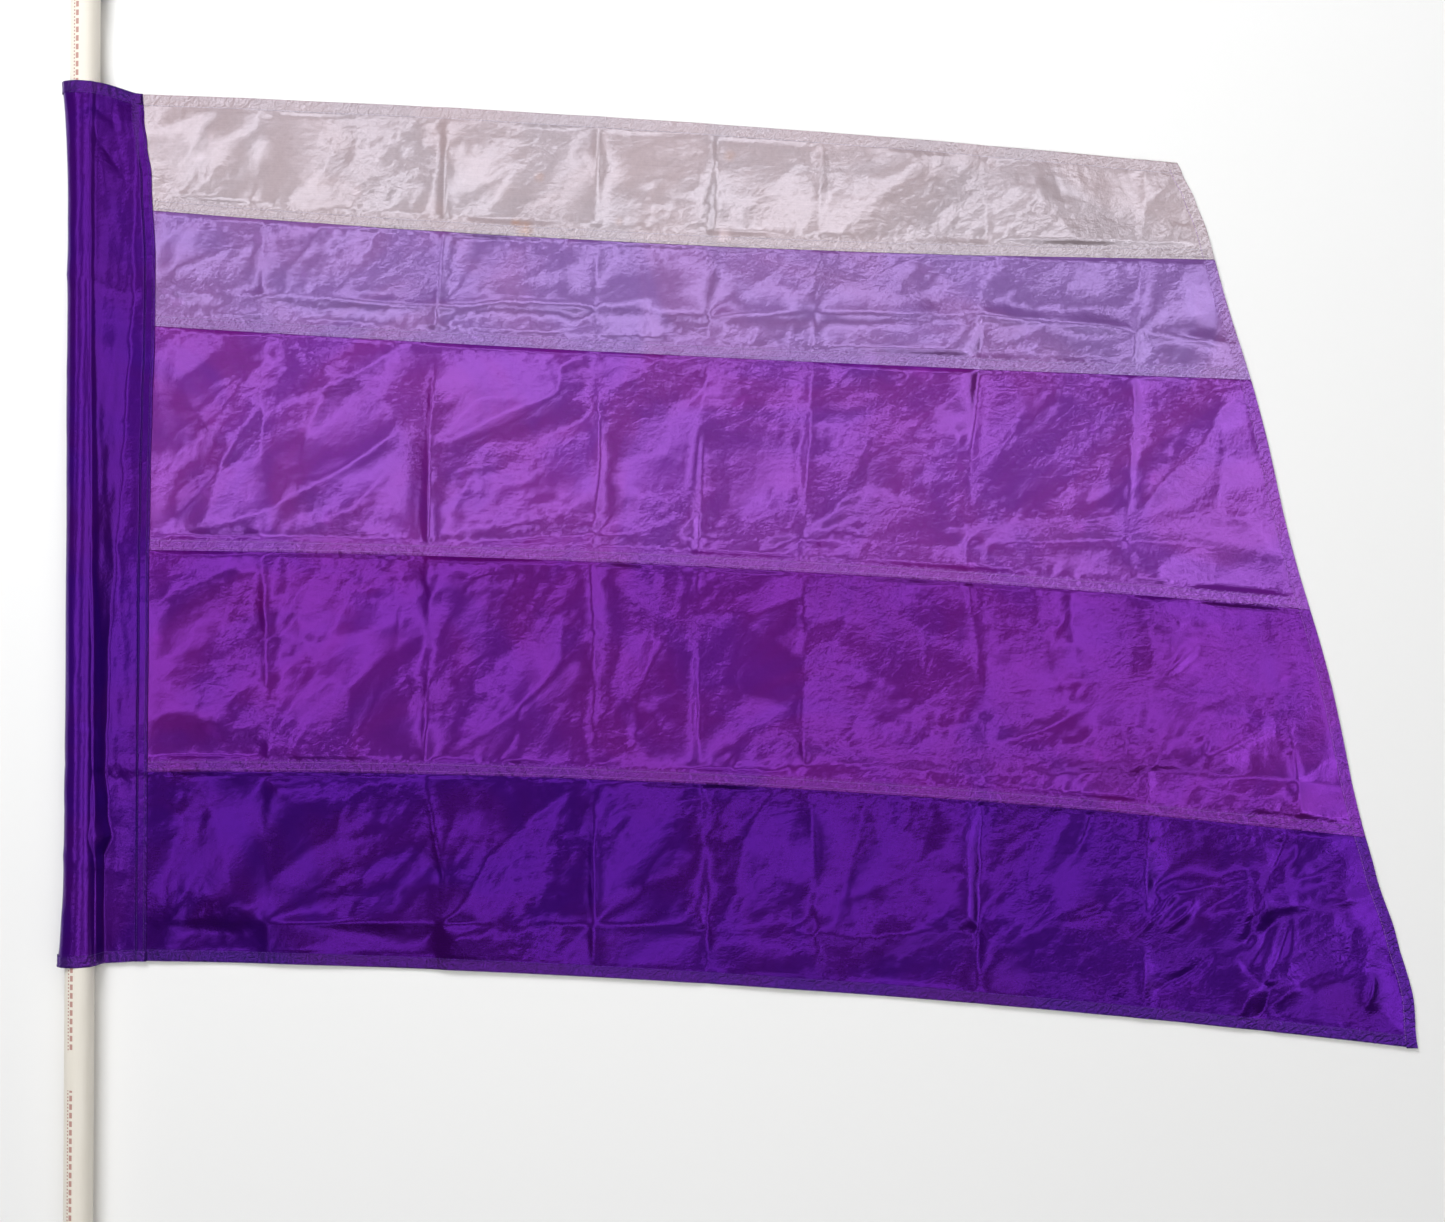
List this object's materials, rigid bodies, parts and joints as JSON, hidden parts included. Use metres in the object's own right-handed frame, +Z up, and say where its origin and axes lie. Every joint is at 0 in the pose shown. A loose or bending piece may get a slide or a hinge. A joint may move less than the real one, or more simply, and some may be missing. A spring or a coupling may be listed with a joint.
{
  "type": "swing flag with pole",
  "caption": "Flat-laid swing flag: a striped cloth fly with a slanted free edge, felled seams and a sleeve that slides and swivels on a capped hollow pole.",
  "frame": {"origin": "centre of the underside of the flat-laid flag's bounding box", "axes": "+X from the pole to the cloth's free edge, +Y along the pole to its tip, +Z up from the surface that the flag lies on"},
  "size_m": [1.3606, 1.8376, 0.0332],
  "materials": {
    "pole_plastic": "gloss",
    "cap_vinyl": "satin",
    "sleeve_cloth": "satin",
    "lilac_cloth": "satin",
    "lavender_cloth": "satin",
    "orchid_cloth": "satin",
    "purple_cloth": "satin",
    "indigo_cloth": "satin",
    "lilac_thread": "satin",
    "lavender_thread": "satin",
    "orchid_thread": "satin",
    "purple_thread": "satin",
    "indigo_thread": "satin"
  },
  "bodies": {
    "pole": {"pole_tube": "pole_plastic"},
    "tip_cap": {"tip_cap": "cap_vinyl"},
    "butt_cap": {"butt_cap": "cap_vinyl"},
    "sleeve": {"sleeve_wrap": "sleeve_cloth"},
    "fly": {"sleeve_web": "sleeve_cloth", "lilac_panel": "lilac_cloth", "lavender_panel": "lavender_cloth", "orchid_panel": "orchid_cloth", "purple_panel": "purple_cloth", "indigo_panel": "indigo_cloth", "lilac_lavender_seam_edge_thread": "lilac_thread", "lilac_lavender_seam_fell_thread": "lilac_thread", "lavender_orchid_seam_edge_thread": "lavender_thread", "lavender_orchid_seam_fell_thread": "lavender_thread", "orchid_purple_seam_edge_thread": "orchid_thread", "orchid_purple_seam_fell_thread": "orchid_thread", "purple_indigo_seam_edge_thread": "purple_thread", "purple_indigo_seam_fell_thread": "purple_thread", "head_hem_thread": "lilac_thread", "foot_hem_thread": "indigo_thread", "free_edge_hem_thread": "orchid_thread", "sleeve_edge_thread": "indigo_thread", "sleeve_lap_thread": "indigo_thread", "sleeve_head_hem_thread": "indigo_thread", "sleeve_foot_hem_thread": "indigo_thread"}
  },
  "joints": [
    {"name": "tip_cap_pull", "type": "slide", "parent": "pole", "child": "tip_cap", "axis": [0, 1, 0], "range_m": [0, 0.04]},
    {"name": "butt_cap_pull", "type": "slide", "parent": "pole", "child": "butt_cap", "axis": [0, -1, 0], "range_m": [0, 0.04]},
    {"name": "sleeve_slide", "type": "slide", "parent": "pole", "child": "sleeve", "axis": [0, 1, 0], "range_m": [-0.795, 0.087]},
    {"name": "fly_swivel", "type": "hinge", "parent": "sleeve", "child": "fly", "pos_m": [-0.6637, 0.3, 0.0166], "axis": [0, -1, 0], "continuous": true}
  ]
}
